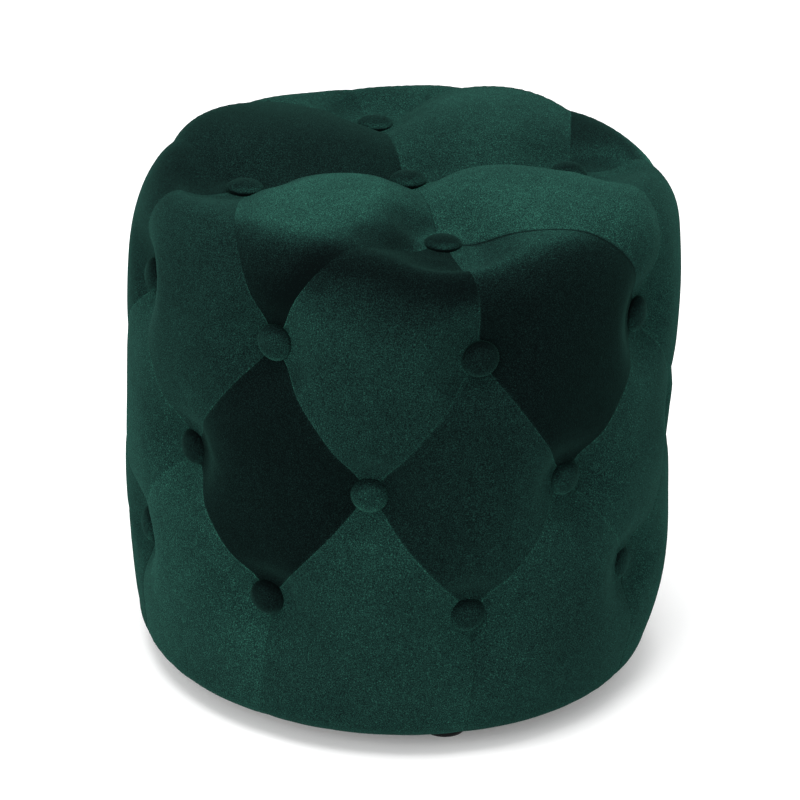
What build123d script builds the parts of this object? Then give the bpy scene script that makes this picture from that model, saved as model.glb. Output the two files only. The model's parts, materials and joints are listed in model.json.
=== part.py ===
"""Round tufted ottoman: a plywood and hardboard drum, padded and closed in a sewn velvet cover.

Millimetres. The drum's axis is Z, the floor is Z = 0 and the front is -Y.
Angles go round from the front towards +X.
"""

import os
from math import cos, radians, sin

from build123d import *

os.makedirs("parts", exist_ok=True)

# The padded drum
crown_radius = 210.0  # widest part of the padding
crown_height = 408.0  # top of the padding above the floor
underside = 12.0  # lowest part of the cover above the floor
padding = 14.0  # velvet panel with the wadding quilted to it
seam_gap = 0.4  # between neighbouring panels
top_edge_width = 46.0  # how far the top edge's rounding reaches in
top_edge_drop = 100.0  # and how far it reaches down
taper_height = 130.0  # below this the side leans in towards the floor
taper = 9.0
bottom_edge_radius = 27.0
clearance = 0.2  # between pieces that are packed together

# The tufting: a centre button, a ring of buttons round it and three staggered rows on the side
columns = 8
ring_buttons = 4
ring_radius = 124.5
ring_twist = -4.5
row_heights = (325.0, 217.0, 119.0)
row_offsets = (0.0, 22.5, 0.0)
row_face_radius = 199.0
top_face_height = 392.0

# A covered button, measured down from the top of its face
button_radius = 14.0
button_depth = 8.5
velvet = 0.8
shell_wall = 0.5
back_radius = 10.4
eye_radius = 3.0
eye_wire = 0.7
eye_sink = 1.5
pocket_clearance = 1.0

# The twine that pulls a button in, and the washer that its knot bears on
twine_radius = 0.5
twine_bend = 1.4
knot_radius = 3.2
washer_radius = 8.0
washer_bore = 2.5
washer_thickness = 1.5
twine_hole = 3.0

# The frame
base_bottom = 15.0
base_thickness = 15.0
base_radius = 178.0
wall_radius = 160.0
wall_thickness = 3.0
board_thickness = 12.0
board_top = 357.0
hoop_width = 19.0
hoop_height = 162.0
post_size = 30.0
post_ring = 118.0
post_angle = 11.25
posts = 4

# The padding under the cover
side_foam_radius = 182.0
top_foam_height = 375.0

# The underside
hem_radius = 171.0
dust_cover_radius = 170.0
dust_cover_thickness = 0.8
dust_staple_ring = 163.0
hem_staple_ring = 174.5
staple_width = 8.0
staple_wire = 0.6
staple_leg = 6.0

# The feet
feet = 4
foot_ring = 151.0
foot_radius = 18.0
foot_recess_radius = 6.0
foot_recess_depth = 8.0
screw_head_radius = 4.5
screw_head_bottom = 5.0
foot_screw_tip = 27.0

base_top = base_bottom + base_thickness
board_bottom = board_top - board_thickness
wall_inside = wall_radius - wall_thickness
foot_height = base_bottom - dust_cover_thickness


def save(builder, name):
    """Label a finished piece and write it."""
    builder.part.label = name
    export_step(builder.part, f"parts/{name}.step")


def around(angle, radius, height):
    """Point at an angle round the drum."""
    turn = radians(angle)
    return Vector(radius * sin(turn), -radius * cos(turn), height)


def facing_out(angle, radius, height):
    """Location on the drum's side with its Z pointing outwards and its Y pointing up."""
    outwards = around(angle, 1, 0)
    return Plane(around(angle, radius, height), x_dir=around(angle + 90, 1, 0), z_dir=outwards).location


def facing_up(angle, radius, height):
    """Location on a level face with its X pointing outwards."""
    return Plane(around(angle, radius, height), x_dir=around(angle, 1, 0), z_dir=(0, 0, 1)).location


def facing_down(angle, radius, height):
    """Location on an underside with its Z pointing to the floor and its Y pointing round the drum."""
    return Plane(around(angle, radius, height), x_dir=around(angle, 1, 0), z_dir=(0, 0, -1)).location


column_step = 360 / columns
ring_step = 360 / ring_buttons
row_angles = [[offset + column_step * i for i in range(columns)] for offset in row_offsets]
ring_angles = [ring_twist + ring_step * i for i in range(ring_buttons)]

row_places = [
    [facing_out(angle, row_face_radius, height) for angle in angles]
    for angles, height in zip(row_angles, row_heights)
]
side_places = [place for row in row_places for place in row]
centre_place = facing_up(0, 0, top_face_height)
ring_places = [facing_up(angle, ring_radius, top_face_height) for angle in ring_angles]
top_places = [centre_place, *ring_places]

foot_angles = [360 / feet * i for i in range(feet)]
post_places = [facing_up(post_angle + 360 / posts * i, post_ring, 0) for i in range(posts)]
dust_staples = [facing_down(post_angle + 22.5 * i, dust_staple_ring, foot_height) for i in range(16)]
hem_staples = [facing_down(5.625 + 11.25 * i, hem_staple_ring, underside) for i in range(32)]


# ---- cover panels -------------------------------------------------------------------------------

leg_spacing = staple_width - staple_wire
leg_places = [(0, leg_spacing / 2, 0), (0, -leg_spacing / 2, 0)]

with BuildPart() as staple:
    Box(staple_wire, staple_width, staple_wire, align=(Align.CENTER, Align.CENTER, Align.MIN))
    with Locations(*leg_places):
        Box(staple_wire, staple_wire, staple_leg, align=(Align.CENTER, Align.CENTER, Align.MAX))

with BuildPart() as staple_slots:
    with Locations(*leg_places):
        Box(staple_wire + clearance, staple_wire + clearance, 2 * staple_leg + clearance)


def top_and_side(inset):
    """Half outline of the padded drum above its taper, the inset measured in from the outside."""
    middle = crown_radius - top_edge_width
    shoulder = crown_height - top_edge_drop
    side = crown_radius - inset
    top = crown_height - inset
    with BuildLine() as outline:
        Line((0, top), (middle, top))
        EllipticalCenterArc((middle, shoulder), side - middle, top - shoulder, 0, arc_size=90)
        Line((side, shoulder), (side, taper_height))
    return outline.line


outer_outline = top_and_side(0)
inner_outline = top_and_side(padding)

with BuildPart() as cover:
    with BuildSketch(Plane.XZ):
        with BuildLine():
            add(outer_outline)
            Line((crown_radius, taper_height), (crown_radius - taper, underside + bottom_edge_radius))
            JernArc(
                (crown_radius - taper, underside + bottom_edge_radius),
                (0, -1),
                bottom_edge_radius,
                -90,
            )
            corner = crown_radius - taper - bottom_edge_radius
            Polyline(
                (corner, underside),
                (hem_radius, underside),
                (hem_radius, base_bottom - clearance),
                (base_radius + clearance, base_bottom - clearance),
                (base_radius + clearance, base_top),
                (side_foam_radius + 5 * clearance, base_top),
                (crown_radius - padding - taper, base_top + bottom_edge_radius / 2),
                (crown_radius - padding, taper_height),
            )
            add(inner_outline)
            Line((0, crown_height - padding), (0, crown_height))
        make_face()
    revolve(axis=Axis.Z)
    with Locations(*side_places, *top_places):
        Cylinder(button_radius + pocket_clearance, 40, mode=Mode.SUBTRACT)
    with Locations(*hem_staples):
        add(staple_slots.part, mode=Mode.SUBTRACT)


def seam_plane(first, second, middle):
    """Plane through two neighbouring buttons and the drum's axis, facing the panel it trims."""
    axis_point = Vector(0, 0, min((first.Z + second.Z) / 2, 250))
    normal = (first - axis_point).cross(second - axis_point).normalized()
    if normal.dot(middle - axis_point) < 0:
        normal = -normal
    return Plane(axis_point + normal * seam_gap / 2, z_dir=normal)


def panel(name, seams):
    """One panel of the cover, trimmed at the seams between its buttons."""
    corners = [point for seam in seams for point in seam]
    middle = sum(corners, Vector(0, 0, 0)) / len(corners)
    with BuildPart() as piece:
        add(cover.part)
        split(bisect_by=Plane((0, 0, 0), z_dir=(middle.X, middle.Y, 0)), keep=Keep.TOP)
        for first, second in seams:
            split(bisect_by=seam_plane(first, second, middle), keep=Keep.TOP)
    save(piece, name)


def loop(*corners):
    """Seams that run round a panel and close."""
    return list(zip(corners, corners[1:] + corners[:1]))


centre_point = Vector(0, 0, crown_height)
ring_points = [around(angle, ring_radius, crown_height) for angle in ring_angles]
row_1, row_2, row_3 = [
    [around(angle, crown_radius, height) for angle in angles]
    for angles, height in zip(row_angles, row_heights)
]
hem_points = [around(angle, crown_radius, underside) for angle in row_angles[2]]

for i in range(ring_buttons):
    after = (i + 1) % ring_buttons
    panel(f"top_panel_{i + 1}", loop(centre_point, ring_points[i], row_1[2 * i + 1], ring_points[after]))

for i in range(columns):
    after = (i + 1) % columns
    nearest_ring = (i + 1) // 2 % ring_buttons
    upper = loop(ring_points[nearest_ring], row_1[i], row_2[i], row_1[after])
    middle = loop(row_1[after], row_2[i], row_3[after], row_2[after])
    lower = [
        (hem_points[i], row_3[i]),
        (row_3[i], row_2[i]),
        (row_2[i], row_3[after]),
        (row_3[after], hem_points[after]),
    ]
    panel(f"upper_panel_{i + 1}", upper)
    panel(f"middle_panel_{i + 1}", middle)
    panel(f"lower_panel_{i + 1}", lower)


# ---- screws, feet and the frame -----------------------------------------------------------------


def screw(length, clear=0.0):
    """Countersunk wood screw pointing down from a head flush with Z = 0."""
    head = 4.0 + clear
    shank = 2.0 + clear
    with BuildPart() as piece:
        with BuildSketch(Plane.XZ):
            with BuildLine():
                Polyline(
                    (0, 0),
                    (head, 0),
                    (shank, shank - head),
                    (shank, 2 - length),
                    (0, -length - clear),
                    close=True,
                )
            make_face()
        revolve(axis=Axis.Z)
    return piece.part


post_height = board_bottom - base_top - 2 * clearance
screw_length = 45.0
upper_screw_places = [place * Location((0, 0, board_top)) for place in post_places]
lower_screw_places = [place * Location((0, 0, base_bottom), (180, 0, 0)) for place in post_places]
screw_hole = screw(screw_length, clearance)

with BuildPart() as frame_screws:
    with Locations(*upper_screw_places, *lower_screw_places):
        add(screw(screw_length))
save(frame_screws, "frame_screws")

with BuildPart() as foot_screw:
    with BuildSketch(Plane.XZ):
        with BuildLine():
            Polyline(
                (0, screw_head_bottom),
                (screw_head_radius, screw_head_bottom),
                (screw_head_radius, foot_recess_depth),
                (2, foot_recess_depth),
                (2, foot_screw_tip - 2),
                (0, foot_screw_tip),
                close=True,
            )
        make_face()
    revolve(axis=Axis.Z)
foot_places = [facing_up(angle, foot_ring, 0) for angle in foot_angles]

with BuildPart() as foot_screws:
    with Locations(*foot_places):
        add(foot_screw.part)
save(foot_screws, "foot_screws")

with BuildPart() as foot:
    Cylinder(foot_radius, foot_height - clearance, align=(Align.CENTER, Align.CENTER, Align.MIN))
    chamfer(foot.edges().group_by(Axis.Z)[0], 2.5, 1.5)
    Cylinder(
        foot_recess_radius,
        foot_recess_depth,
        align=(Align.CENTER, Align.CENTER, Align.MIN),
        mode=Mode.SUBTRACT,
    )
    Cylinder(2 + clearance, 100, mode=Mode.SUBTRACT)

for i, place in enumerate(foot_places):
    with BuildPart() as placed_foot:
        with Locations(place):
            add(foot.part)
    save(placed_foot, f"foot_{i + 1}")

with BuildPart() as base_board:
    with Locations((0, 0, base_bottom)):
        Cylinder(base_radius, base_thickness, align=(Align.CENTER, Align.CENTER, Align.MIN))
    with Locations(*lower_screw_places):
        add(screw_hole, mode=Mode.SUBTRACT)
    with Locations(*foot_places):
        Cylinder(2 + clearance, 100, mode=Mode.SUBTRACT)
    with Locations(*hem_staples, *dust_staples):
        add(staple_slots.part, mode=Mode.SUBTRACT)
save(base_board, "base_board")

with BuildPart() as top_board:
    with Locations((0, 0, board_bottom)):
        Cylinder(
            wall_inside - clearance,
            board_thickness,
            align=(Align.CENTER, Align.CENTER, Align.MIN),
        )
    with Locations(*upper_screw_places):
        add(screw_hole, mode=Mode.SUBTRACT)
    with Locations(*top_places):
        Cylinder(twine_hole, 150, mode=Mode.SUBTRACT)
save(top_board, "top_board")

for i in range(posts):
    with BuildPart() as post:
        with Locations(post_places[i] * Location((0, 0, base_top + clearance))):
            Box(post_size, post_size, post_height, align=(Align.CENTER, Align.CENTER, Align.MIN))
        chamfer(post.edges().filter_by(Axis.Z), 1.5)
        with Locations(upper_screw_places[i], lower_screw_places[i]):
            add(screw_hole, mode=Mode.SUBTRACT)
    save(post, f"post_{i + 1}")

with BuildPart() as mid_hoop:
    with Locations((0, 0, hoop_height)):
        Cylinder(
            wall_inside - clearance,
            board_thickness,
            align=(Align.CENTER, Align.CENTER, Align.MIN),
        )
        Cylinder(wall_inside - hoop_width, 100, mode=Mode.SUBTRACT)
save(mid_hoop, "mid_hoop")


def tube(inside, outside, low, high):
    """Upright tube that the side's tufting twines pass through."""
    with BuildPart() as piece:
        with Locations((0, 0, low)):
            Cylinder(outside, high - low, align=(Align.CENTER, Align.CENTER, Align.MIN))
        with Locations((0, 0, (low + high) / 2)):
            Cylinder(inside, high - low + 10, mode=Mode.SUBTRACT)
        with Locations(*side_places):
            Cylinder(twine_hole, 100, mode=Mode.SUBTRACT)
    return piece


drum_wall = tube(wall_inside, wall_radius, base_top + clearance, board_top)
save(drum_wall, "drum_wall")

side_foam = tube(wall_radius + clearance, side_foam_radius, base_top + clearance, board_top)
save(side_foam, "side_foam")


# ---- foam and wadding ---------------------------------------------------------------------------

with BuildPart() as top_foam:
    with Locations((0, 0, board_top + clearance)):
        Cylinder(
            side_foam_radius,
            top_foam_height - board_top - clearance,
            align=(Align.CENTER, Align.CENTER, Align.MIN),
        )
    fillet(top_foam.edges().group_by(Axis.Z)[-1], 8)
    with Locations(*top_places):
        Cylinder(twine_hole, 150, mode=Mode.SUBTRACT)
save(top_foam, "top_foam")

wadding_outline = top_and_side(padding + clearance)
pocket_radius = button_radius + pocket_clearance
pocket_depth = 14.0

with BuildPart() as wadding:
    with BuildSketch(Plane.XZ):
        with BuildLine():
            add(wadding_outline)
            inner_side = crown_radius - padding - clearance
            Polyline(
                (inner_side, taper_height),
                (inner_side - taper, base_top + bottom_edge_radius / 2),
                (side_foam_radius + clearance, base_top + clearance),
                (side_foam_radius + clearance, top_foam_height + clearance),
                (0, top_foam_height + clearance),
                (0, crown_height - padding - clearance),
            )
        make_face()
    revolve(axis=Axis.Z)
    with Locations(*side_places, *top_places):
        Cylinder(twine_hole, 150, mode=Mode.SUBTRACT)
        with Locations((0, 0, -pocket_depth)):
            Cylinder(pocket_radius, 40, align=(Align.CENTER, Align.CENTER, Align.MIN), mode=Mode.SUBTRACT)

with BuildPart() as side_wadding:
    add(wadding.part)
    split(bisect_by=Plane((0, 0, board_top), z_dir=(0, 0, -1)), keep=Keep.TOP)
save(side_wadding, "side_wadding")

with BuildPart() as top_wadding:
    add(wadding.part)
    split(bisect_by=Plane((0, 0, board_top + clearance), z_dir=(0, 0, 1)), keep=Keep.TOP)
save(top_wadding, "top_wadding")


# ---- buttons ------------------------------------------------------------------------------------


def cap(radius, inset, wall):
    """Domed cap curled in at its rim, its face's highest point an inset below Z = 0."""
    crown = -inset
    shoulder = -5.0
    rim = -button_depth + inset
    with BuildPart() as piece:
        with BuildSketch(Plane.XZ):
            with BuildLine():
                top = TangentArc((0, crown), (radius, shoulder), tangent=(1, -0.02))
                Polyline(top @ 1, (radius, rim), (back_radius, rim), (back_radius, rim + wall))
                Polyline((back_radius, rim + wall), (radius - wall, rim + wall), (radius - wall, shoulder))
                TangentArc((0, crown - wall), (radius - wall, shoulder), tangent=(1, -0.02))
                Line((0, crown - wall), (0, crown))
            make_face()
        revolve(axis=Axis.Z)
    return piece.part


velvet_cap = cap(button_radius, 0, velvet)
metal_cap = cap(button_radius - velvet - 0.05, velvet + 0.05, shell_wall)
eye_height = -button_depth - eye_sink

with BuildPart() as button_back:
    with Locations((0, 0, -button_depth)):
        Cylinder(back_radius - 0.1, 1, align=(Align.CENTER, Align.CENTER, Align.MIN))
    with Locations(Location((0, 0, eye_height), (90, 0, 0))):
        Torus(eye_radius, eye_wire)

for row, places in enumerate(row_places):
    with BuildPart() as row_buttons:
        with Locations(*places):
            add(velvet_cap)
    save(row_buttons, f"row_{row + 1}_buttons")

with BuildPart() as top_ring_buttons:
    with Locations(*ring_places):
        add(velvet_cap)
save(top_ring_buttons, "top_ring_buttons")

with BuildPart() as top_centre_button:
    with Locations(centre_place):
        add(velvet_cap)
save(top_centre_button, "top_centre_button")

with BuildPart() as button_shells:
    with Locations(*side_places, *top_places):
        add(metal_cap)
save(button_shells, "button_shells")

with BuildPart() as button_backs:
    with Locations(*side_places, *top_places):
        add(button_back.part)
save(button_backs, "button_backs")


def twine(washer_face):
    """Doubled twine through a button's eye, knotted behind its washer."""
    bend_height = eye_height - eye_radius
    knot_height = washer_face - washer_thickness - 2.4
    with BuildPart() as piece:
        with BuildLine(Plane.YZ) as path:
            Line((-twine_bend, knot_height), (-twine_bend, bend_height))
            CenterArc((0, bend_height), twine_bend, 180, -180)
            Line((twine_bend, bend_height), (twine_bend, knot_height))
        with BuildSketch(Plane(path.line @ 0, z_dir=path.line % 0)):
            Circle(twine_radius)
        sweep(path=path.line)
        with Locations((0, 0, knot_height)):
            Sphere(knot_radius)
    return piece.part


with BuildPart() as washer:
    Cylinder(washer_radius, washer_thickness, align=(Align.CENTER, Align.CENTER, Align.MAX))
    Cylinder(washer_bore, 10, mode=Mode.SUBTRACT)

# A flat washer bears on the round wall at its two edges
wall_washer_face = (wall_inside**2 - washer_radius**2) ** 0.5 - clearance - row_face_radius
board_washer_face = board_bottom - clearance - top_face_height

with BuildPart() as tufting_twines:
    with Locations(*side_places):
        add(twine(wall_washer_face))
    with Locations(*top_places):
        add(twine(board_washer_face))
save(tufting_twines, "tufting_twines")

with BuildPart() as twine_washers:
    with Locations(*[place * Location((0, 0, wall_washer_face)) for place in side_places]):
        add(washer.part)
    with Locations(*[place * Location((0, 0, board_washer_face)) for place in top_places]):
        add(washer.part)
save(twine_washers, "twine_washers")


# ---- underside ----------------------------------------------------------------------------------

with BuildPart() as dust_cover:
    with Locations((0, 0, foot_height)):
        Cylinder(
            dust_cover_radius,
            dust_cover_thickness - clearance / 2,
            align=(Align.CENTER, Align.CENTER, Align.MIN),
        )
    with Locations(*foot_places):
        Cylinder(3, 100, mode=Mode.SUBTRACT)
    with Locations(*dust_staples):
        add(staple_slots.part, mode=Mode.SUBTRACT)
save(dust_cover, "dust_cover")

with BuildPart() as hem_staple_row:
    with Locations(*hem_staples):
        add(staple.part)
save(hem_staple_row, "hem_staples")

with BuildPart() as dust_staple_row:
    with Locations(*dust_staples):
        add(staple.part)
save(dust_staple_row, "dust_cover_staples")
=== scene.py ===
"""Looks of the tufted velvet ottoman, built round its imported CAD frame.

Metres, in the CAD's frame: the drum's axis is Z, the floor is Z = 0 and the front is -Y.
"""

import json
import math

import bpy
import numpy as np
from mathutils import Matrix, Quaternion, Vector


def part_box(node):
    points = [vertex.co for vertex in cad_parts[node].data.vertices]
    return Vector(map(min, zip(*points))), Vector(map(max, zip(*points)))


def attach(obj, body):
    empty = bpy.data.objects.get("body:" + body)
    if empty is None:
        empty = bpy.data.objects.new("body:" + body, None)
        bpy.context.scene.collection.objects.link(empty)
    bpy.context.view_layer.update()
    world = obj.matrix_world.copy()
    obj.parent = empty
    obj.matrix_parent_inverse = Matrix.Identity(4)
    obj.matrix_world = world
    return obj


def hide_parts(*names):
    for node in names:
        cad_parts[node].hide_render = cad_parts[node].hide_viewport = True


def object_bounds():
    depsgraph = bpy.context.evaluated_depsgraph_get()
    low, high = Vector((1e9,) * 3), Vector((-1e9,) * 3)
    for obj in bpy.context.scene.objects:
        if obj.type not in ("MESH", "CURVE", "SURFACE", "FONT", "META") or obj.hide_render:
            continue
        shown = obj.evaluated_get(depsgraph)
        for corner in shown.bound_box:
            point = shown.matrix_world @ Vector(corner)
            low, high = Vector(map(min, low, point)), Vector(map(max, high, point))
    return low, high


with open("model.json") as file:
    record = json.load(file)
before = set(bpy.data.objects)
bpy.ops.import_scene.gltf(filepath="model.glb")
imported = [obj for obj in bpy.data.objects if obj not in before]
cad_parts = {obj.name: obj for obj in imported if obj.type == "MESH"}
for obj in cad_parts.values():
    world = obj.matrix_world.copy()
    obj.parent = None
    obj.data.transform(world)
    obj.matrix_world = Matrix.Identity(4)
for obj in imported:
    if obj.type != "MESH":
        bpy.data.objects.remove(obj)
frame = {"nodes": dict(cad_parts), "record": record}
cad_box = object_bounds()

# ---- sizes, from the frame ----------------------------------------------------------------------

crown_radius = cad_box[1].x
hem_rise = 0.0020
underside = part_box("lower_panel_1")[0].z + hem_rise
button_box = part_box("top_centre_button")
button_radius = button_box[1].x
button_depth = button_box[1].z - button_box[0].z
top_face_height = button_box[1].z
ring_twist = math.radians(-4.5)
ring_radius = (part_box("top_ring_buttons")[1].x - button_radius) / math.cos(ring_twist)
row_boxes = [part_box(f"row_{row}_buttons") for row in (1, 2, 3)]
row_heights = [(low.z + high.z) / 2 for low, high in row_boxes]
row_face_radius = row_boxes[0][1].x
columns = 8
column_step = 2 * math.pi / columns
row_offsets = [0, column_step / 2, 0]
hem_gap = 0.0004
hem_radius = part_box("dust_cover")[1].x + hem_gap

# The side of the drum that the camera looks at, and that the cover's lean is measured across
azimuth = math.radians(-17.16)

# The outline that the tops of the puffs follow
crown_height = 0.403
top_edge_width = 0.0435
top_edge_drop = 0.110
top_edge_squareness = 2.48
taper_height = 0.126
taper_power = 1.9
bottom_radius = 0.200
bottom_edge_radius = 0.020

# How far the buttons' faces stand out past the CAD's: the side ones, the top ring's from the front one
# round, and the centre one
side_button_rise = 0.003
ring_button_rises = (0.001, 0.005, 0.001, 0.001)
centre_button_rise = 0.003

# The dimple that each button pulls in the cover: full depth out to its floor, then fading over its reach
side_dip = crown_radius - row_face_radius + 0.0026
top_dip = side_dip + 0.0018
dimple_floor = 0.0145
dimple_reach = 0.021

# The top ring's pull over the drum's edge: how far it's stretched outwards and how much deeper it gets
front_pull = (2.3, 0.006)
side_pull = (1.7, 0.002)
back_pull = (1.4, 0.0018)
beside_middle = 0.05
sag_run = 0.045
edge_spread = 0.5
spread_run = 0.03

# The valley along each seam, and the narrow lip where the fabric turns in at it. A seam over the drum's edge
# whose middle lies between the two dark seam angles shows as a dark line
seam_dip = 0.0006
edge_seam_dip = 0.0010
top_seam_dip = 0.0075
seam_dip_at_button = 0.0011
button_fade = 0.035
seam_width = 0.022
top_seam_width = 0.045
pleat_fade = 0.06
lip_depth = 0.00025
lip_width = 0.0016
lip_fade = 0.03
half_gap = 0.00003
overhang_limit = 0.03
dark_seam_angles = (0.1, 0.8)

# A seam lies in a plane through the drum's axis at one of these heights
top_line = 0.38
edge_seam_axis = 0.08
highest_axis = 0.25

# How far each kind of panel stands out at its middle, and how much further the cloth may swell
puff_rise = {"top": 0.0098, "upper": 0.0006, "middle": 0.0006, "lower": 0.001}
extra_rise = {"top_panel_2": 0.0015, "upper_panel_5": -0.004}
puff_limit = {"top": 0.0022, "upper": 0.0014, "middle": 0.0014, "lower": 0.0016}
swell_reach = 0.014

# How sharply a panel's bulge falls off to its seams: a four-sided one's, and a lower one's across and down
puff_power = 1.4
lower_powers = (0.7, 0.6)

# How the finished cover leans and swells: each height band is its middle and its width
top_tilt = 0.013
tilted_above = 0.25
tilt_band = 0.13
foot_drift = 0.0042
foot_band = (0.075, 0.06)
hem_band = 0.008
shoulder_swell = 0.0045
shoulder_band = (0.385, 0.025)
side_swell = 0.0055
side_band = (0.213, 0.028)


# ---- the drum's outline -------------------------------------------------------------------------


def outline():
    """Radius and height along the crown's half outline, from the top's centre to the hem."""
    shoulder = crown_radius - top_edge_width
    waist = crown_height - top_edge_drop
    r = np.linspace(0, shoulder, 60)
    points = [np.stack([r, np.full_like(r, crown_height)], 1)]
    a = np.linspace(math.pi / 2, 0, 80)[1:]
    power = 2 / top_edge_squareness
    points.append(
        np.stack(
            [
                shoulder + top_edge_width * np.abs(np.cos(a)) ** power,
                waist + top_edge_drop * np.abs(np.sin(a)) ** power,
            ],
            1,
        )
    )
    z = np.linspace(waist, underside + bottom_edge_radius, 80)[1:]
    lean = np.clip((taper_height - z) / (taper_height - underside - bottom_edge_radius), 0, 1)
    points.append(np.stack([crown_radius - (crown_radius - bottom_radius) * lean**taper_power, z], 1))
    a = np.linspace(0, math.pi / 2, 24)[1:]
    points.append(
        np.stack(
            [
                bottom_radius - bottom_edge_radius + bottom_edge_radius * np.cos(a),
                underside + bottom_edge_radius - bottom_edge_radius * np.sin(a),
            ],
            1,
        )
    )
    points.append(np.array([[hem_radius, underside]]))
    points = np.concatenate(points)
    length = np.concatenate([[0], np.cumsum(np.linalg.norm(np.diff(points, axis=0), axis=1))])
    even = np.linspace(0, length[-1], 800)
    return even, np.interp(even, length, points[:, 0]), np.interp(even, length, points[:, 1])


run, run_radius, run_height = outline()
slope_r, slope_z = np.gradient(run_radius, run), np.gradient(run_height, run)
hem_run = run[-1]

# How many places of the outline, from the top's centre, are on the flat of the top
flat_places = 200


def outline_at(along):
    """Radius, height and unit direction of the outline at a distance along it."""
    r, z = np.interp(along, run, run_radius), np.interp(along, run, run_height)
    out, up = np.interp(along, run, slope_r), np.interp(along, run, slope_z)
    size = np.hypot(out, up)
    return r, z, out / size, up / size


def on_crown(angle, along, depth=0.0):
    """Point at an angle round the drum and a distance along its outline, a depth below the crown."""
    r, z, out, up = outline_at(along)
    r, z = r + depth * up, z - depth * out
    return np.stack([r * np.sin(angle), -r * np.cos(angle), z], -1)


def thrown_out(points, axis_height):
    """Angle and distance along the outline where rays from the axis through points leave the crown."""
    angle = np.arctan2(points[..., 0], -points[..., 1])
    reach = np.hypot(points[..., 0], points[..., 1])
    rise = points[..., 2] - axis_height
    low, high = np.zeros_like(reach), np.full_like(reach, hem_run)
    for _ in range(40):
        half = (low + high) / 2
        r = np.interp(half, run, run_radius)
        z = np.interp(half, run, run_height) - axis_height
        above = z * reach > rise * r
        low, high = np.where(above, half, low), np.where(above, high, half)
    return angle, low


def flat_along(radius):
    """Distance along the outline to a radius on the flat of the top."""
    return np.interp(radius, run_radius[:flat_places], run[:flat_places])


def row_point(row, column):
    """Where a side button pulls on the crown."""
    angle = row_offsets[row] + column_step * column
    along = np.interp(-row_heights[row], -run_height, run)
    return on_crown(angle, along)


def ring_point(i):
    """Where a button of the top ring pulls on the crown."""
    return on_crown(ring_twist + i * math.pi / 2, flat_along(ring_radius))


# Places along a seam from 0 to 1, closer together towards its ends
steps = 36
spaced = (1 - np.cos(np.linspace(0, math.pi, steps + 1))) / 2


class Seam:
    """Line of points on the crown between two buttons, or a pleat from a button to the hem, and its dip."""

    def __init__(self, start, end, drop=None):
        self.start, self.end = np.array(start), np.array(end)
        self.pleat = drop is not None
        on_top = [point[2] > top_line for point in (self.start, self.end)]
        over_edge = on_top[0] != on_top[1]
        middle = min((self.start[2] + self.end[2]) / 2, highest_axis)
        self.origin = np.array([0, 0, edge_seam_axis if over_edge else middle])
        if self.pleat:
            _, top = thrown_out(self.start[None], self.origin[2])
            self.along = top[0] + (drop - top[0]) * spaced
            self.angle = np.full_like(self.along, math.atan2(start[0], -start[1]))
        else:
            chord = self.start + (self.end - self.start) * spaced[:, None]
            self.angle, self.along = thrown_out(chord, self.origin[2])
            tiny = np.hypot(chord[:, 0], chord[:, 1]) < 1e-6
            if tiny.any():
                self.angle[tiny] = self.angle[~tiny][0]
        self.points = on_crown(self.angle, self.along)
        self.lip = 0.0 if over_edge else lip_depth
        self.dark_line = over_edge and dark_seam_angles[0] < self.angle[steps // 2] < dark_seam_angles[1]
        self.width = top_seam_width if all(on_top) else seam_width
        shallow = top_seam_dip if all(on_top) else edge_seam_dip if over_edge else seam_dip
        near = np.linalg.norm(self.points - self.start, axis=1)
        if not self.pleat:
            near = np.minimum(near, np.linalg.norm(self.points - self.end, axis=1))
        self.dip = shallow + (seam_dip_at_button - shallow) * np.exp(-((near / button_fade) ** 2))
        if self.pleat:
            self.dip = self.dip * np.clip((hem_run - self.along) / pleat_fade, 0, 1)
        straight_down = self.start - np.array([0, 0, 0.05])
        other = straight_down if self.pleat else self.end
        normal = np.cross(self.start - self.origin, other - self.origin)
        self.normal = normal / np.linalg.norm(normal)

    def side(self, points):
        """Signed distance of points from the seam's plane."""
        return (points - self.origin) @ self.normal

    def reversed(self):
        """The same seam, from its end to its start."""
        back = object.__new__(Seam)
        back.__dict__ = dict(self.__dict__)
        back.start, back.end = self.end, self.start
        for key in ("angle", "along", "points", "dip"):
            setattr(back, key, getattr(self, key)[::-1])
        return back


def nearest(points, seam):
    """Distance from each point to a seam, and the seam's dip there."""
    start = seam.points[:-1]
    stretch = seam.points[1:] - start
    length = (stretch**2).sum(1)
    share = ((points[:, None] - start) * stretch).sum(-1) / np.maximum(length, 1e-12)
    share = np.clip(share, 0, 1)
    distance = np.linalg.norm(points[:, None] - (start + stretch * share[..., None]), axis=-1)
    best = distance.argmin(1)
    each = np.arange(len(points))
    dip = seam.dip[best] + (seam.dip[best + 1] - seam.dip[best]) * share[each, best]
    return distance[each, best], dip


def dimples(points, angle, along, buttons):
    """How deep the buttons pull in the crown's points. The top ring's pull reaches over the drum's edge."""
    total = np.zeros(len(points))
    for button in buttons:
        pull = top_dip if button[2] > top_line else side_dip
        distance = np.linalg.norm(points - button, axis=1)
        if abs(math.hypot(button[0], button[1]) - ring_radius) < dimple_floor:
            turn = (angle - math.atan2(button[0], -button[1]) + math.pi) % (2 * math.pi) - math.pi
            across = turn * np.minimum(np.interp(along, run, run_radius), ring_radius + spread_run)
            out = along - flat_along(ring_radius)
            across /= 1 + edge_spread * np.clip(out / spread_run, 0, 1)
            if abs(button[1]) < beside_middle:
                stretch, sag = side_pull
            else:
                stretch, sag = front_pull if button[1] < 0 else back_pull
            distance = np.hypot(across, np.where(out > 0, out / stretch, out))
            pull = pull + sag * np.clip(out / sag_run, 0, 1)
        beyond = np.maximum(distance - dimple_floor, 0)
        total += pull * np.exp(-((beyond / dimple_reach) ** 2))
    return total


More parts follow.
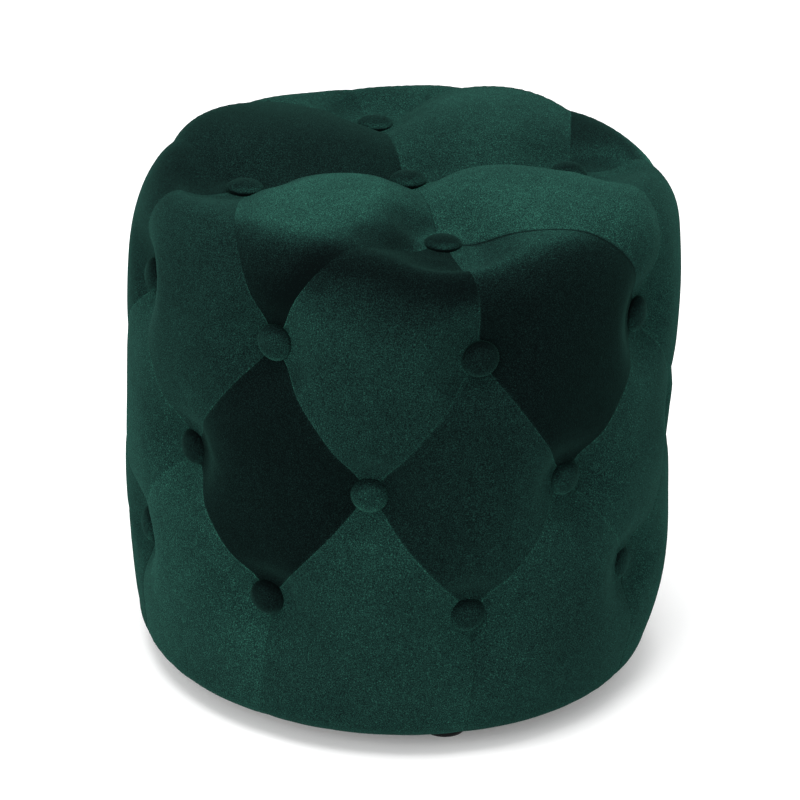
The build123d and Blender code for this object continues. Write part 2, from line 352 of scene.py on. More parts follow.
class Panel:
    """One panel of the cover: a grid of points over the crown, pulled down at its seams."""

    def __init__(self, name, seams, buttons, angle, along, bulge):
        self.name = name
        self.seams = seams
        self.buttons = buttons
        self.angle, self.along = angle, along
        self.kind = name.split("_")[0]
        self.crown = on_crown(angle, along).reshape(-1, 3)
        count = len(self.crown)
        valley, lip = np.zeros(count), np.zeros(count)
        from_seam, self.from_stitches = np.ones(count), np.ones(count)
        for seam in seams:
            distance, dip = nearest(self.crown, seam)
            across = np.clip(distance / seam.width, 0, 1)
            valley = np.maximum(valley, dip * (1 - across) ** 2)
            across = np.clip(distance / lip_width, 0, 1)
            lip = np.maximum(lip, seam.lip * (1 - np.sqrt(2 * across - across * across)))
            from_seam = np.minimum(from_seam, distance)
            if not seam.pleat:
                self.from_stitches = np.minimum(self.from_stitches, distance)
        self.from_seam = from_seam.reshape(angle.shape)
        lip *= np.clip((hem_run - along.ravel()) / lip_fade, 0, 1)
        depth = valley + lip + dimples(self.crown, angle.ravel(), along.ravel(), buttons)
        rise = puff_rise[self.kind] + extra_rise.get(name, 0)
        self.depth = depth.reshape(angle.shape) - rise * bulge
        self.grid = on_crown(angle, along, self.depth)
        centre = self.grid[self.grid.shape[0] // 2, self.grid.shape[1] // 2]
        self.faces_in = [math.copysign(1, seam.side(centre[None])[0]) for seam in seams]

    def rims(self):
        """Where each seam's edge is in the grid, in the seams' order."""
        if self.kind == "lower":
            middle = self.grid.shape[1] // 2
            return np.s_[:, -1], np.s_[0, middle:], np.s_[0, : middle + 1], np.s_[:, 0]
        return np.s_[0], np.s_[:, -1], np.s_[-1], np.s_[:, 0]


def four_sided(name, first, second, third, fourth):
    """Panel inside a loop of four seams, each starting where the last one ends."""
    low, right, high, left = first, second, third.reversed(), fourth.reversed()
    u = spaced[None, :, None]
    v = spaced[:, None, None]
    corners = (
        (1 - u) * (1 - v) * low.points[0]
        + u * (1 - v) * low.points[-1]
        + (1 - u) * v * high.points[0]
        + u * v * high.points[-1]
    )
    blend = (
        (1 - v) * low.points[None]
        + v * high.points[None]
        + (1 - u) * left.points[:, None]
        + u * right.points[:, None]
        - corners
    )
    angle, along = thrown_out(blend, np.minimum(blend[..., 2], highest_axis))
    edges = (np.s_[0, :], low), (np.s_[-1, :], high), (np.s_[:, 0], left), (np.s_[:, -1], right)
    for edge, seam in edges:
        angle[edge], along[edge] = seam.angle, seam.along
    bulge = (16 * u * (1 - u) * v * (1 - v))[..., 0] ** puff_power
    seams = [first, second, third, fourth]
    return Panel(name, seams, [seam.start for seam in seams], angle, along, bulge)


def lower_panel(name, left_pleat, left_seam, right_seam, right_pleat):
    """Panel that hangs from two seams to the hem, between two upright pleats."""
    top_angle = np.concatenate([left_seam.angle[::2], right_seam.angle[::2][1:]])
    top_along = np.concatenate([left_seam.along[::2], right_seam.along[::2][1:]])
    top_angle = np.unwrap(top_angle)
    v = spaced[:, None]
    u = (top_angle - top_angle[0]) / (top_angle[-1] - top_angle[0])
    angle = np.repeat(top_angle[None], steps + 1, 0)
    along = top_along[None] * (1 - v) + hem_run * v
    across, down = lower_powers
    bulge = (4 * u * (1 - u))[None] ** across * np.clip(np.sin(math.pi * v) ** down, 0, 1)
    buttons = [left_seam.start, left_seam.end, right_seam.end]
    seams = [left_pleat, left_seam, right_seam, right_pleat]
    return Panel(name, seams, buttons, angle[:, ::-1], along[:, ::-1], bulge[:, ::-1])


def cover_panels():
    """The 28 panels, with the CAD's names."""
    centre = np.array([0, 0, crown_height])
    ring = [ring_point(i) for i in range(4)]
    rows = [[row_point(row, i) for i in range(columns)] for row in range(3)]
    panels = []
    for i in range(4):
        after = (i + 1) % 4
        corner = rows[0][2 * i + 1]
        loop = [
            Seam(centre, ring[i]),
            Seam(ring[i], corner),
            Seam(corner, ring[after]),
            Seam(ring[after], centre),
        ]
        panels.append(four_sided(f"top_panel_{i + 1}", *loop))
    for i in range(columns):
        after = (i + 1) % columns
        held = ring[(i + 1) // 2 % 4]
        upper = [
            Seam(held, rows[0][i]),
            Seam(rows[0][i], rows[1][i]),
            Seam(rows[1][i], rows[0][after]),
            Seam(rows[0][after], held),
        ]
        panels.append(four_sided(f"upper_panel_{i + 1}", *upper))
        middle = [
            Seam(rows[0][after], rows[1][i]),
            Seam(rows[1][i], rows[2][after]),
            Seam(rows[2][after], rows[1][after]),
            Seam(rows[1][after], rows[0][after]),
        ]
        panels.append(four_sided(f"middle_panel_{i + 1}", *middle))
        lower = [
            Seam(rows[2][i], rows[2][i], drop=hem_run),
            Seam(rows[2][i], rows[1][i]),
            Seam(rows[1][i], rows[2][after]),
            Seam(rows[2][after], rows[2][after], drop=hem_run),
        ]
        panels.append(lower_panel(f"lower_panel_{i + 1}", *lower))
    return panels


panels = cover_panels()


# ---- cloth --------------------------------------------------------------------------------------


def mesh_object(name, points, faces):
    """New smooth-shaded object from points and faces."""
    mesh = bpy.data.meshes.new(name)
    mesh.from_pydata([tuple(p) for p in points], [], faces)
    mesh.validate()
    mesh.polygons.foreach_set("use_smooth", [True] * len(mesh.polygons))
    obj = bpy.data.objects.new(name, mesh)
    bpy.context.scene.collection.objects.link(obj)
    return obj


def grid_faces(rows, cols, start=0, flip=False):
    """Quads over a grid of points stored row by row."""
    faces = []
    for i in range(rows - 1):
        for j in range(cols - 1):
            a = start + i * cols + j
            quad = (a, a + 1, a + cols + 1, a + cols)
            faces.append(quad[::-1] if flip else quad)
    return faces


def ring_faces(rings, segments, start=0, flip=False):
    """Quads between each ring of points and the next."""
    faces = []
    for i in range(rings - 1):
        for k in range(segments):
            a = start + i * segments + k
            b = start + i * segments + (k + 1) % segments
            quad = (a, b, b + segments, a + segments)
            faces.append(quad[::-1] if flip else quad)
    return faces


# The cloth is held this far from each button and from the hem, then less and less over its fade
held_at_button = 0.024
button_hold_fade = 0.008
held_at_hem = 0.06
hem_hold_fade = 0.03
cloth_frames = 20


def inflate(panels):
    """Blow the panels up like fabric over foam, each held at its seams."""
    points, faces, pinned = [], [], []
    for panel in panels:
        rows, cols = panel.grid.shape[:2]
        start = len(points)
        faces += grid_faces(rows, cols, start)
        points.extend(panel.grid.reshape(-1, 3))
        hold = np.zeros((rows, cols))
        hold[0] = hold[-1] = 1
        hold[:, 0] = hold[:, -1] = 1
        if panel.kind == "lower":
            from_hem = hem_run - panel.along
            hold = np.maximum(hold, np.clip((held_at_hem - from_hem) / hem_hold_fade, 0, 1))
        near = np.min([np.linalg.norm(panel.grid - b, axis=-1) for b in panel.buttons], axis=0)
        hold = np.maximum(hold, np.clip((held_at_button - near) / button_hold_fade, 0, 1))
        pinned.extend(hold.ravel())
    cloth = mesh_object("cloth", points, faces)
    group = cloth.vertex_groups.new(name="held")
    for i, weight in enumerate(pinned):
        if weight > 0:
            group.add([i], float(weight), "REPLACE")
    modifier = cloth.modifiers.new("Cloth", "CLOTH")
    settings = modifier.settings
    settings.quality = 6
    settings.mass = 0.15
    settings.tension_stiffness = 12
    settings.compression_stiffness = 12
    settings.shear_stiffness = 5
    settings.bending_stiffness = 0.6
    settings.use_pressure = True
    settings.uniform_pressure_force = 1.5
    settings.shrink_min = -0.004
    settings.vertex_group_mass = "held"
    settings.effector_weights.gravity = 0
    modifier.collision_settings.use_collision = False
    modifier.collision_settings.use_self_collision = False
    modifier.point_cache.frame_start = 1
    modifier.point_cache.frame_end = cloth_frames
    for frame_number in range(1, cloth_frames + 1):
        bpy.context.scene.frame_set(frame_number)
    settled = cloth.evaluated_get(bpy.context.evaluated_depsgraph_get())
    moved = np.zeros(len(points) * 3)
    settled.data.vertices.foreach_get("co", moved)
    bpy.data.objects.remove(cloth)
    bpy.context.scene.frame_set(1)
    moved = moved.reshape(-1, 3)
    start = 0
    for panel in panels:
        size = panel.grid.shape[0] * panel.grid.shape[1]
        shift = moved[start : start + size].reshape(panel.grid.shape) - panel.grid
        length = np.linalg.norm(shift, axis=-1, keepdims=True)
        limit = puff_limit[panel.kind]
        from_seam = np.clip(panel.from_seam / swell_reach, 0, 1)[..., None]
        shift *= from_seam * limit * np.tanh(length / limit) / np.maximum(length, 1e-9)
        panel.grid = panel.grid + shift
        start += size


def keep_apart(panel):
    """Move what hangs over a seam back to the panel's own side of it."""
    edges = [panel.grid[rim].copy() for rim in panel.rims()]
    for seam, facing, edge in zip(panel.seams, panel.faces_in, edges):
        flat = panel.grid.reshape(-1, 3)
        beside = np.linalg.norm(flat[:, None] - edge, axis=-1).argmin(1)
        inside = (seam.side(flat) - seam.side(edge)[beside]) * facing
        push = np.maximum(half_gap - inside, 0)
        push[np.abs(inside) > overhang_limit] = 0
        flat += (push * facing)[:, None] * seam.normal
        panel.grid = flat.reshape(panel.grid.shape)


inflate(panels)
for panel in panels:
    keep_apart(panel)


def in_band(height, middle, width):
    """How much a place belongs to a band of heights: 1 in its middle, fading to 0 over its width."""
    return np.exp(-(((height - middle) / width) ** 2))


def settle(points):
    """The finished drum's slight lean: its top is lower on the left, its foot bears to the right."""
    points = np.array(points, float)
    height = points[..., 2]
    across = points[..., 0] * math.cos(azimuth) + points[..., 1] * math.sin(azimuth)
    right_share = np.clip(across / crown_radius, 0, 1)
    high = np.clip((height - tilted_above) / tilt_band, 0, 1)
    low = in_band(height, *foot_band) * np.clip((height - underside) / hem_band, 0, 1)
    shoulder = in_band(height, *shoulder_band) * right_share**2
    side = in_band(height, *side_band) * right_share**6
    swell = shoulder_swell * shoulder + side_swell * side
    points[..., :2] *= 1 + (swell / crown_radius)[..., None]
    points[..., 2] += top_tilt * across * high * high * (3 - 2 * high)
    points[..., 0] += foot_drift * low * math.cos(azimuth)
    points[..., 1] += foot_drift * low * math.sin(azimuth)
    return points


# A panel's thickness at its thinnest, and how deep below the crown its back lies where nothing pulls it
wall = 0.0025
back_depths = (0.011, 0.0135)
deepened_from = 0.0105
hem_slope = 0.3
hem_flat = 0.01


def back_depth(panel):
    """How far the panel's back lies below the crown: thin at a dimple and at the hem."""
    least, most = back_depths
    depth = np.maximum(panel.depth + wall, least)
    depth = np.minimum(depth, most + np.maximum(panel.depth - deepened_from, 0))
    if panel.kind == "lower":
        from_hem = np.maximum(hem_run - panel.along - hem_flat, 0)
        depth = np.minimum(depth, wall + from_hem * hem_slope + np.maximum(panel.depth, 0))
    return depth


def close_panel(panel):
    """Closed padded piece: the panel's face, its wadding's back, and the edges sewn between them."""
    rows, cols = panel.grid.shape[:2]
    front = panel.grid.reshape(-1, 3)
    back = on_crown(panel.angle, panel.along, back_depth(panel)).reshape(-1, 3)
    shift = (panel.grid - on_crown(panel.angle, panel.along, panel.depth)).reshape(-1, 3)
    rim = np.zeros((rows, cols), bool)
    rim[0] = rim[-1] = rim[:, 0] = rim[:, -1] = True
    back[rim.ravel()] += shift[rim.ravel()]
    count = rows * cols
    points = settle(np.concatenate([front, back]))
    faces = grid_faces(rows, cols, 0) + grid_faces(rows, cols, count, flip=True)
    loop = (
        list(range(cols))
        + [i * cols + cols - 1 for i in range(1, rows)]
        + [(rows - 1) * cols + j for j in range(cols - 2, -1, -1)]
        + [i * cols for i in range(rows - 2, 0, -1)]
    )
    first_wall = len(faces)
    for a, b in zip(loop, loop[1:] + loop[:1]):
        faces.append((b, a, a + count, b + count))
    obj = mesh_object("velvet_" + panel.name, points, faces)
    if panel.kind != "lower":
        for k in range(len(loop)):
            if panel.seams[k // steps].lip == 0:
                obj.data.polygons[first_wall + k].use_smooth = False
    return obj


# ---- materials ----------------------------------------------------------------------------------


class Finish:
    """A material's node tree, with short ways to add to it."""

    def __init__(self, name, roughness, metallic=0.0):
        self.material = bpy.data.materials.new(name)
        self.material.use_nodes = True
        self.tree = self.material.node_tree
        self.shader = self.tree.nodes["Principled BSDF"]
        self.shader.inputs["Roughness"].default_value = roughness
        self.shader.inputs["Metallic"].default_value = metallic
        self.place = self.tree.nodes.new("ShaderNodeTexCoord").outputs["Object"]

    def link(self, out, socket):
        """Join an output to an input."""
        self.tree.links.new(out, socket)

    def noise(self, scale, detail=3, stretch=(1, 1, 1)):
        """Noise over the object's own coordinates, in features of 1 / scale metres."""
        mapping = self.tree.nodes.new("ShaderNodeMapping")
        mapping.inputs["Scale"].default_value = stretch
        self.link(self.place, mapping.inputs["Vector"])
        texture = self.tree.nodes.new("ShaderNodeTexNoise")
        texture.inputs["Scale"].default_value = scale
        texture.inputs["Detail"].default_value = detail
        self.link(mapping.outputs["Vector"], texture.inputs["Vector"])
        return texture.outputs["Fac"]

    def sum(self, base, *terms):
        """A number plus each texture's swing about its middle, times a weight."""
        total = base
        for value, weight in terms:
            node = self.tree.nodes.new("ShaderNodeMath")
            node.operation = "MULTIPLY_ADD"
            self.link(value, node.inputs[0])
            node.inputs[1].default_value = weight
            if isinstance(total, float):
                node.inputs[2].default_value = total - weight / 2
            else:
                shift = self.tree.nodes.new("ShaderNodeMath")
                shift.operation = "ADD"
                self.link(total, shift.inputs[0])
                shift.inputs[1].default_value = -weight / 2
                self.link(shift.outputs[0], node.inputs[2])
            total = node.outputs[0]
        return total

    def colours(self, value, *stops):
        """Colour ramp over a value, each stop a position and a colour."""
        node = self.tree.nodes.new("ShaderNodeValToRGB")
        elements = node.color_ramp.elements
        while len(elements) < len(stops):
            elements.new(0.5)
        for element, (position, colour) in zip(elements, stops):
            element.position = position
            element.color = (*colour, 1)
        self.link(value, node.inputs["Fac"])
        self.link(node.outputs["Color"], self.shader.inputs["Base Color"])

    def bump(self, height, depth, strength=0.6):
        """Fine relief, its depth in metres."""
        node = self.tree.nodes.new("ShaderNodeBump")
        node.inputs["Strength"].default_value = strength
        node.inputs["Distance"].default_value = depth
        self.link(height, node.inputs["Height"])
        self.link(node.outputs["Normal"], self.shader.inputs["Normal"])


def velvet_finish():
    """Short-pile velvet: its colour comes from the nap's tone and the painted light and shade stored on the
    mesh, with a faint cool sheen.
    """
    finish = Finish("velvet", 0.95)
    attribute = finish.tree.nodes.new("ShaderNodeAttribute")
    attribute.attribute_name = "nap_and_shade"
    pile = finish.noise(1300, 0)
    strokes = finish.noise(140, 4)
    clouds = finish.noise(16, 3)
    shade = finish.sum(attribute.outputs["Fac"], (pile, 0.85), (strokes, 0.16), (clouds, 0.22))
    finish.colours(
        shade,
        (0.0, (0.0014, 0.0025, 0.0026)),
        (0.3, (0.0031, 0.0083, 0.0076)),
        (0.6, (0.0070, 0.0262, 0.0214)),
        (1.0, (0.0240, 0.1080, 0.0780)),
    )
    finish.bump(finish.sum(0.5, (pile, 0.7), (strokes, 0.5)), 0.0006, 0.6)
    finish.shader.inputs["Specular IOR Level"].default_value = 0.0
    finish.shader.inputs["Sheen Weight"].default_value = 0.06
    finish.shader.inputs["Sheen Roughness"].default_value = 0.45
    finish.shader.inputs["Sheen Tint"].default_value = (0.24, 0.78, 0.62, 1)
    return finish.material


def mottled(name, dark, light, scale, roughness, depth, metallic=0.0, stretch=(1, 1, 1), specular=0.5):
    """Plain surface with two shades, broad and fine variation and a fine relief."""
    finish = Finish(name, roughness, metallic)
    finish.shader.inputs["Specular IOR Level"].default_value = specular
    fine = finish.noise(scale, 4, stretch)
    broad = finish.noise(scale / 9, 2, stretch)
    finish.colours(finish.sum(0.5, (fine, 0.9), (broad, 0.6)), (0.1, dark), (0.9, light))
    finish.bump(fine, depth)
    return finish.material


def cad_materials():
    """One procedural material for each of the record's slots that keeps its CAD shape."""
    looks = {
        "plywood": ((0.36, 0.22, 0.11), (0.62, 0.44, 0.26), 60, 0.6, 0.0002),
        "pine": ((0.45, 0.27, 0.12), (0.72, 0.5, 0.28), 90, 0.55, 0.0002),
        "hardboard": ((0.07, 0.035, 0.016), (0.16, 0.085, 0.04), 500, 0.7, 0.0001),
        "foam": ((0.55, 0.48, 0.3), (0.82, 0.76, 0.55), 900, 0.95, 0.0006),
        "steel": ((0.4, 0.4, 0.41), (0.68, 0.68, 0.69), 1500, 0.32, 0.00003),
        "button_metal": ((0.6, 0.6, 0.6), (0.8, 0.8, 0.79), 1200, 0.35, 0.00003),
        "twine": ((0.42, 0.38, 0.28), (0.7, 0.66, 0.52), 2500, 0.8, 0.0002),
        "washer_plastic": ((0.66, 0.66, 0.63), (0.8, 0.8, 0.78), 800, 0.45, 0.00003),
        "black_plastic": ((0.0015, 0.0016, 0.002), (0.005, 0.0052, 0.006), 1400, 0.5, 0.00008),
    }
    more = {
        "plywood": {"stretch": (1, 1, 12)},
        "pine": {"stretch": (1, 1, 0.08)},
        "steel": {"metallic": 1.0},
        "button_metal": {"metallic": 1.0},
        "black_plastic": {"specular": 0.15},
    }
    return {name: mottled(name, *look, **more.get(name, {})) for name, look in looks.items()}


velvet = velvet_finish()
finishes = cad_materials()
for entry in frame["record"]["subparts"]:
    if entry["material_slot"] in finishes:
        node = frame["nodes"][entry["node"]]
        for material_slot in node.material_slots:
            material_slot.material = finishes[entry["material_slot"]]

# Dark grey wadding: its own grey, made dark enough to stand as painted shade where it shows through the
# narrow gaps between the panels
wadding_and_gap_shade = mottled("wadding", (0.05, 0.055, 0.06), (0.15, 0.155, 0.16), 300, 0.95, 0.0012)
dust_cover_finish = mottled("dust_cover", (0.006, 0.006, 0.007), (0.018, 0.018, 0.02), 900, 0.85, 0.0002)

# Each panel's shade: its nap's tone, with painted light and shade that follow how steeply the cover faces
# up. The three shades are where the cover faces up, where it turns over the drum's edge and where it
# stands upright: 0 is nearly black, 1 is bright
nap_and_shade = {
    "top_panel_1": (0.58, 0.53, 0.48),
    "top_panel_2": (0.52, 0.46, 0.42),
    "top_panel_3": (0.22, 0.3, 0.34),
    "top_panel_4": (0.62, 0.27, 0.15),
    "upper_panel_1": (0.5, 0.16, 0.08),
    "upper_panel_2": (0.5, 0.5, 0.5),
    "upper_panel_3": (0.12, 0.6, 0.45),
    "upper_panel_4": (0.52, 0.5, 0.5),
    "upper_panel_5": (0.5, 0.3, 0.2),
    "upper_panel_6": (0.22, 0.3, 0.35),
    "upper_panel_7": (0.42, 0.34, 0.4),
    "upper_panel_8": (0.12, -0.02, 0.38),
    "middle_panel_1": (0.46, 0.46, 0.46),
    "middle_panel_3": (0.2, 0.2, 0.2),
    "middle_panel_5": (0.3, 0.3, 0.3),
    "middle_panel_7": (0.1, 0.1, 0.1),
    "middle_panel_8": (0.32, 0.32, 0.32),
    "lower_panel_7": (0.56, 0.56, 0.56),
    "lower_panel_1": (0.46, 0.46, 0.46),
}
plain_nap = (0.5, 0.5, 0.5)

# How steeply the cover faces up, in degrees, where each of the three shades is reached
upright_lift, edge_lift, up_lift = 8, 43, 76

# How fast a panel's painted light and shade change round the drum, as the light falls across it, and the
# angle where it's the shade above
painted_light_turn = {"middle_panel_8": (0.3, 0.0), "upper_panel_8": (-0.16, 0.0), "upper_panel_3": (-0.5, 2.05)}

# The panel painted darker towards one of its seams, as painted shade where it slopes down into the seam:
# the seam's place in its loop, how much and how far
painted_seam_shade = {"top_panel_4": (2, 0.3, 0.02)}

# The dark line along the seam that has one, and the painted sheen highlight beside the others, where the
# cover is upright enough: how much and how far
dark_line, dark_line_width = 0.5, 0.0013
painted_sheen_rim, painted_sheen_rim_width = 0.16, 0.0014
rim_lifts = (20, 40)


def paint_nap_and_shade(obj, panel):
    """Store the nap's tone across the panel, with its painted light and shade, for the material."""
    up, edge, upright = nap_and_shade.get(panel.name, plain_nap)
    normals = np.zeros(len(obj.data.vertices) * 3)
    obj.data.vertex_normals.foreach_get("vector", normals)
    lift = np.degrees(np.arcsin(np.clip(normals.reshape(-1, 3)[:, 2], -1, 1)))
    # The nap's tone with painted light and shade, by how steeply the cover faces up
    values = np.interp(lift, (upright_lift, edge_lift, up_lift), (upright, edge, up))
    # Painted light and shade that change round the drum
    if panel.name in painted_light_turn:
        points = np.zeros(len(normals))
        obj.data.vertices.foreach_get("co", points)
        points = points.reshape(-1, 3)
        rate, middle = painted_light_turn[panel.name]
        values += rate * (np.arctan2(points[:, 0], -points[:, 1]) - middle)
    front = values[: panel.depth.size]
    if panel.kind != "lower":
        face = front.reshape(panel.depth.shape)
        next_in = (np.s_[1], np.s_[:, -2], np.s_[-2], np.s_[:, 1])
        for seam, rim, beside in zip(panel.seams, panel.rims(), next_in):
            if seam.lip == 0:
                face[rim] = face[beside]
    # Painted shade towards one seam
    if panel.name in painted_seam_shade:
        place, amount, width = painted_seam_shade[panel.name]
        distance, _ = nearest(panel.grid.reshape(-1, 3), panel.seams[place])
        front -= amount * np.exp(-((distance / width) ** 2))
    for seam in panel.seams:
        if seam.dark_line:
            distance, _ = nearest(panel.crown, seam)
            front -= dark_line * np.clip(1 - distance / dark_line_width, 0, 1)
    # A painted sheen highlight beside the stitched seams, where the cover stands upright
    if panel.kind != "top":
        beside_seam = np.clip(1 - panel.from_stitches / painted_sheen_rim_width, 0, 1)
        front += painted_sheen_rim * beside_seam * np.interp(lift[: front.size], rim_lifts, (1, 0))
    obj.data.attributes.new("nap_and_shade", "FLOAT", "POINT").data.foreach_set("value", values)


for panel in panels:
    piece = close_panel(panel)
    paint_nap_and_shade(piece, panel)
    piece.data.materials.append(velvet)
    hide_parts(panel.name)
    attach(piece, "root")


# ---- buttons ------------------------------------------------------------------------------------


def button_points(segments=40):
    """Domed, fabric-covered button, its face's top at Z = 0: its points and its faces."""
    section = [
        (0.25, -0.0002),
        (0.5, -0.0009),
        (0.7, -0.0018),
        (0.84, -0.0028),
        (0.93, -0.0038),
        (0.985, -0.0046),
        (1.0, -0.0055),
        (0.985, -0.007),
        (0.93, -0.0082),
        (0.8, -0.0085),
    ]
    points = [(0, 0, 0)]
    for share, height in section:
        radius = share * button_radius
        for k in range(segments):
            a = 2 * math.pi * k / segments
            points.append((radius * math.cos(a), radius * math.sin(a), height))
    last = len(points) - segments
    faces = [(0, 1 + k, 1 + (k + 1) % segments) for k in range(segments)]
    faces += ring_faces(len(section), segments, 1, flip=True)
    faces.append(tuple(range(last, last + segments)))
    return points, faces


# How a button's colour is painted with shade and light by the drop below its face's top: painted shade
# darkening all round towards its outer rim, and painted light from its upper rim to its lower one, which
# catches the light
rim_drops, painted_rim_shade = (0.0018, 0.0038, 0.0046, 0.0055), (0, 0.02, -0.05, -0.35)
lit_drops, painted_rim_light = (0.0009, 0.0028, 0.0046, 0.0055), (0, 0.25, 0.25, 0)


def buttons(name, nodes, frames, tones):
    """One piece of covered buttons, each with its place, its nap's shade and the painted shade and light
    round its rim.
    """
    base, base_faces = button_points()
    points, faces = [], []
    for place in frames:
        start = len(points)
        points += [place @ Vector(p) for p in base]
        faces += [tuple(start + i for i in face) for face in base_faces]
    obj = mesh_object(name, points, faces)
    layer = obj.data.attributes.new("nap_and_shade", "FLOAT", "POINT")
    up_face, drop = np.array(base)[:, 1], -np.array(base)[:, 2]
    # Painted shade round each button's rim, and painted light on its lower rim
    rim = np.interp(drop, rim_drops, painted_rim_shade)
    rim -= np.interp(drop, lit_drops, painted_rim_light) * up_face / button_radius
    layer.data.foreach_set("value", (np.array(tones)[:, None] + rim).ravel())
    obj.data.materials.append(velvet)
    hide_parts(*nodes)
    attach(obj, "root")


def side_frame(angle, height):
    """Place of a side button whose face stands out past the CAD's while its back stays where it is."""
    out = Vector((math.sin(angle), -math.cos(angle), 0))
    right = Vector((math.cos(angle), math.sin(angle), 0))
    place = Matrix((right, (0, 0, 1), out)).transposed().to_4x4()
    place.translation = out * (row_face_radius + side_button_rise) + Vector((0, 0, height))
    return place @ Matrix.Diagonal((1, 1, 1 + side_button_rise / button_depth, 1))


def raised_button(x, y, rise):
    """Place of a top button whose face stands higher while its back stays where it is."""
    place = Matrix.Translation((x, y, top_face_height + rise))
    return place @ Matrix.Diagonal((1, 1, 1 + rise / button_depth, 1))


# How each button's nap lies, round each row from the front
button_nap = [
    (0.22, 0.3, 0.4, 0.5, 0.25, 0.45, 0.3, 0.4),
    (0.4, 0.35, 0.5, 0.3, 0.25, 0.4, 0.2, 0.48),
    (0.32, 0.42, 0.4, 0.45, 0.3, 0.25, 0.4, 0.18),
]
ring_button_nap = (0.18, 0.24, 0.32, 0.24)
centre_button_nap = (0.28,)

for row in range(3):
    frames = [side_frame(row_offsets[row] + column_step * i, row_heights[row]) for i in range(columns)]
    buttons(f"velvet_buttons_row_{row + 1}", [f"row_{row + 1}_buttons"], frames, button_nap[row])
ring_frames = [
    raised_button(ring_radius * math.sin(a), -ring_radius * math.cos(a), rise)
    for a, rise in zip((ring_twist + i * math.pi / 2 for i in range(4)), ring_button_rises)
]
buttons("velvet_buttons_top_ring", ["top_ring_buttons"], ring_frames, ring_button_nap)
centre_frame = raised_button(0, 0, centre_button_rise)
buttons("velvet_button_top_centre", ["top_centre_button"], [centre_frame], centre_button_nap)


# ---- wadding and dust cover ---------------------------------------------------------------------


def closed_rings(rings, name):
    """Closed piece from rings of points that run round the drum, the last ring joined to the first."""
    count, segments = rings.shape[:2]
    total = count * segments
    faces = [tuple(corner % total for corner in face) for face in ring_faces(count + 1, segments)]
    return mesh_object(name, settle(rings.reshape(-1, 3)), faces)


all_buttons = np.array(
    [row_point(row, i) for row in range(3) for i in range(columns)]
    + [ring_point(i) for i in range(4)]
    + [[0, 0, crown_height]]
)

# The wadding clears the foam by one gap and lies this deep under the crown, or under a dimple
foam_gap = 0.0003
wadding_depth = 0.0148
under_dimple = 0.0088
foam_cover = 0.0006
foam_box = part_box("side_foam")
foam_radius = foam_box[1].x + foam_gap
foam_low, foam_high = foam_box[0].z, foam_box[1].z
top_foam_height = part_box("top_foam")[1].z + foam_gap


def foam_depth(along):
    """How far below the crown the foam lies."""
    r, z, out, up = outline_at(along)
    inwards = (r - foam_radius) / np.maximum(-up, 1e-6)
    down = (z - top_foam_height) / np.maximum(out, 1e-6)
    return np.maximum(np.where(r > foam_radius, inwards, 0), np.where(z > top_foam_height, down, 0))


def wadding_face(along_values, segments=96):
    """Outside of the wadding: just under the panels, with a hollow at each button."""
    angle = np.linspace(0, 2 * math.pi, segments, endpoint=False)
    angle, along = np.meshgrid(angle, along_values)
    crown = on_crown(angle, along).reshape(-1, 3)
    dimple = dimples(crown, angle.ravel(), along.ravel(), all_buttons).reshape(angle.shape)
    depth = np.maximum(wadding_depth, dimple + under_dimple)
    return on_crown(angle, along, np.minimum(depth, foam_depth(along) - foam_cover))


def level_ring(radius, height, segments=96):
    """Ring of points round the drum's axis at one height."""
    angle = np.linspace(0, 2 * math.pi, segments, endpoint=False)
    return np.stack([radius * np.sin(angle), -radius * np.cos(angle), np.full_like(angle, height)], -1)


# The two layers of wadding part at the top of the side foam, and the side layer ends above the hem
split_run = np.interp(-foam_high, -run_height, run)
split_gap = 0.001
side_end_rise = 0.014
side_end = np.interp(-(foam_low + side_end_rise), -run_height, run)
hole_radius = 0.004
first_run = 0.01
side_places, top_places = 70, 60

side_rings = np.concatenate(
    [
        wadding_face(np.linspace(split_run + split_gap, side_end, side_places)),
        level_ring(foam_radius, foam_low)[None],
        level_ring(foam_radius, (foam_low + foam_high) / 2)[None],
        level_ring(foam_radius, foam_high)[None],
    ]
)
top_wadding_along = np.linspace(first_run, split_run - split_gap, top_places)
top_rings = np.concatenate(
    [
        wadding_face(np.concatenate([[hole_radius], top_wadding_along])),
        level_ring(foam_radius, foam_high + split_gap)[None],
        level_ring(foam_radius, top_foam_height)[None],
        level_ring(hole_radius, top_foam_height)[None],
    ]
)
for name, rings in (("side_wadding", side_rings), ("top_wadding", top_rings)):
    piece = closed_rings(rings, "layer_" + name)
    piece.data.materials.append(wadding_and_gap_shade)
    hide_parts(name)
    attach(piece, "root")

cover_low, cover_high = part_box("dust_cover")
cover_radius = cover_high.x
cover_thickness = 0.0005
first_ring, cover_rings = 0.02, 26
cover_sag = 0.0022
foot_pinch = 0.3
feet = 4
pucker_depth = 0.00018
staples = 16


def cover_face(height, shares, segments=128):
    """One face of the dust cover: it sags at its middle and puckers between the staples round its edge."""
    rings = []
    for share in shares:
        ring = level_ring(cover_radius * share, height, segments)
        turn = np.arctan2(ring[:, 0], -ring[:, 1])
        sag = cover_sag * (1 - share**2) ** 0.8 * (1 - foot_pinch * share * np.cos(feet * turn))
        ring[:, 2] -= sag - pucker_depth * np.cos(turn * staples) * share**6
        rings.append(ring)
    return np.array(rings)


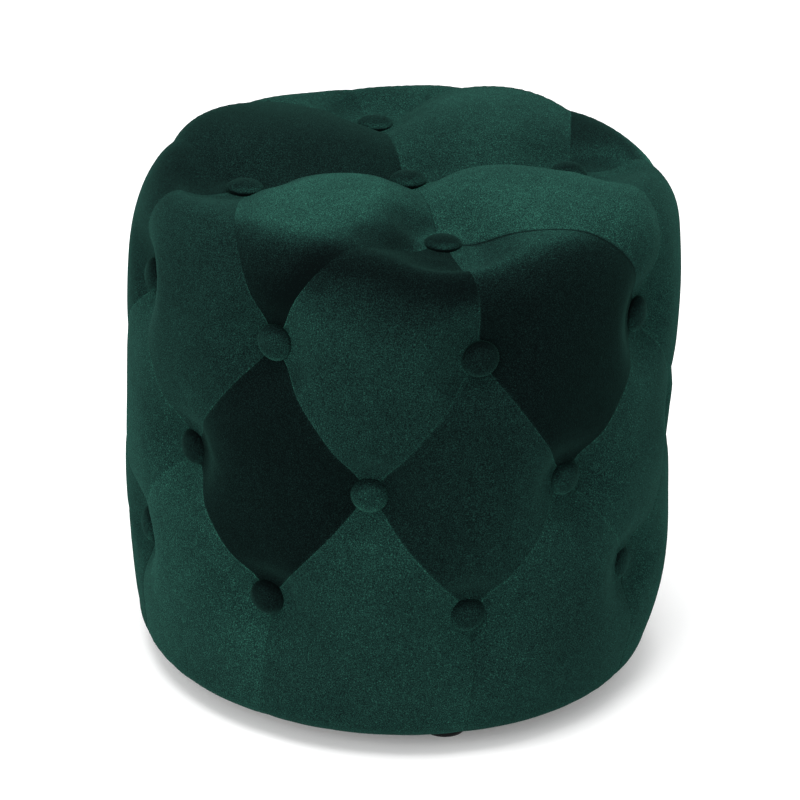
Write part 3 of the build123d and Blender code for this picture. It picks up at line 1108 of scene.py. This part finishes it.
def dust_cover_mesh():
    """The dust cover: an underside and a top, joined round the edge and closed at the middle."""
    shares = np.linspace(first_ring, 1, cover_rings)
    underneath = cover_face(cover_low.z, shares)
    on_top = cover_face(cover_low.z + cover_thickness, shares[::-1])
    rings = np.concatenate([underneath, on_top])
    count, segments = rings.shape[:2]
    below, above = count * segments, count * segments + 1
    faces = ring_faces(count, segments)
    last = below - segments
    for k in range(segments):
        after = (k + 1) % segments
        faces.append((below, after, k))
        faces.append((above, last + k, last + after))
    middles = [[0, 0, rings[i, :, 2].mean()] for i in (0, -1)]
    return mesh_object("sheet_dust_cover", np.concatenate([rings.reshape(-1, 3), middles]), faces)


dust_cover = dust_cover_mesh()
dust_cover.data.materials.append(dust_cover_finish)
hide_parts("dust_cover")
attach(dust_cover, "root")


# ---- the stage, the lights and the camera -------------------------------------------------------

floor_reach = 20
floor_points = [(x * floor_reach, y * floor_reach, 0) for x, y in ((-1, -1), (1, -1), (1, 1), (-1, 1))]
floor = mesh_object("floor", floor_points, [(0, 1, 2, 3)])
floor_finish = mottled("floor", (0.9, 0.9, 0.9), (0.94, 0.94, 0.94), 20, 0.8, 0.0001)
floor_shader = floor_finish.node_tree.nodes["Principled BSDF"]
floor_shader.inputs["Emission Color"].default_value = (1, 1, 1, 1)
floor_shader.inputs["Emission Strength"].default_value = 0.14
floor.data.materials.append(floor_finish)

world = bpy.data.worlds.new("world")
bpy.context.scene.world = world
world.use_nodes = True
background = world.node_tree.nodes["Background"]
background.inputs["Color"].default_value = (1, 1, 1, 1)
background.inputs["Strength"].default_value = 0.9
bpy.context.scene.view_settings.view_transform = "Standard"

lamp_aim = Vector((0, 0, 0.2))


def softbox(name, place, size, power):
    """Round area light that faces the drum."""
    light = bpy.data.lights.new(name, "AREA")
    light.shape = "DISK"
    light.size = size
    light.energy = power
    obj = bpy.data.objects.new(name, light)
    obj.location = place
    obj.rotation_mode = "QUATERNION"
    obj.rotation_quaternion = (lamp_aim - obj.location).to_track_quat("-Z", "Y")
    bpy.context.scene.collection.objects.link(obj)


softbox("overhead", (-0.3, -0.3, 2.2), 1.6, 45)
softbox("front_left", (-1.8, -1.8, 1.5), 1.4, 25)

elevation = math.radians(24.5)
distance = 2.98
lean = math.radians(2.47)
aim_height = 0.2029
aim_up, aim_right = 0.0024, 0.0011
level = math.cos(elevation)
back = Vector((math.sin(azimuth) * level, -math.cos(azimuth) * level, math.sin(elevation)))
right = Vector((math.cos(azimuth), math.sin(azimuth), 0))
up = back.cross(right)
aim = Vector((0, 0, aim_height)) + up * aim_up + right * aim_right
camera_data = bpy.data.cameras.new("camera")
camera_data.lens = 173.3
camera_data.clip_end = 100
camera = bpy.data.objects.new("camera", camera_data)
camera.rotation_mode = "QUATERNION"
camera.location = Vector((0, 0, aim_height)) + back * distance
look = (aim - camera.location).to_track_quat("-Z", "Y")
camera.rotation_quaternion = look @ Quaternion((0, 0, 1), lean)
bpy.context.scene.collection.objects.link(camera)
bpy.context.scene.camera = camera
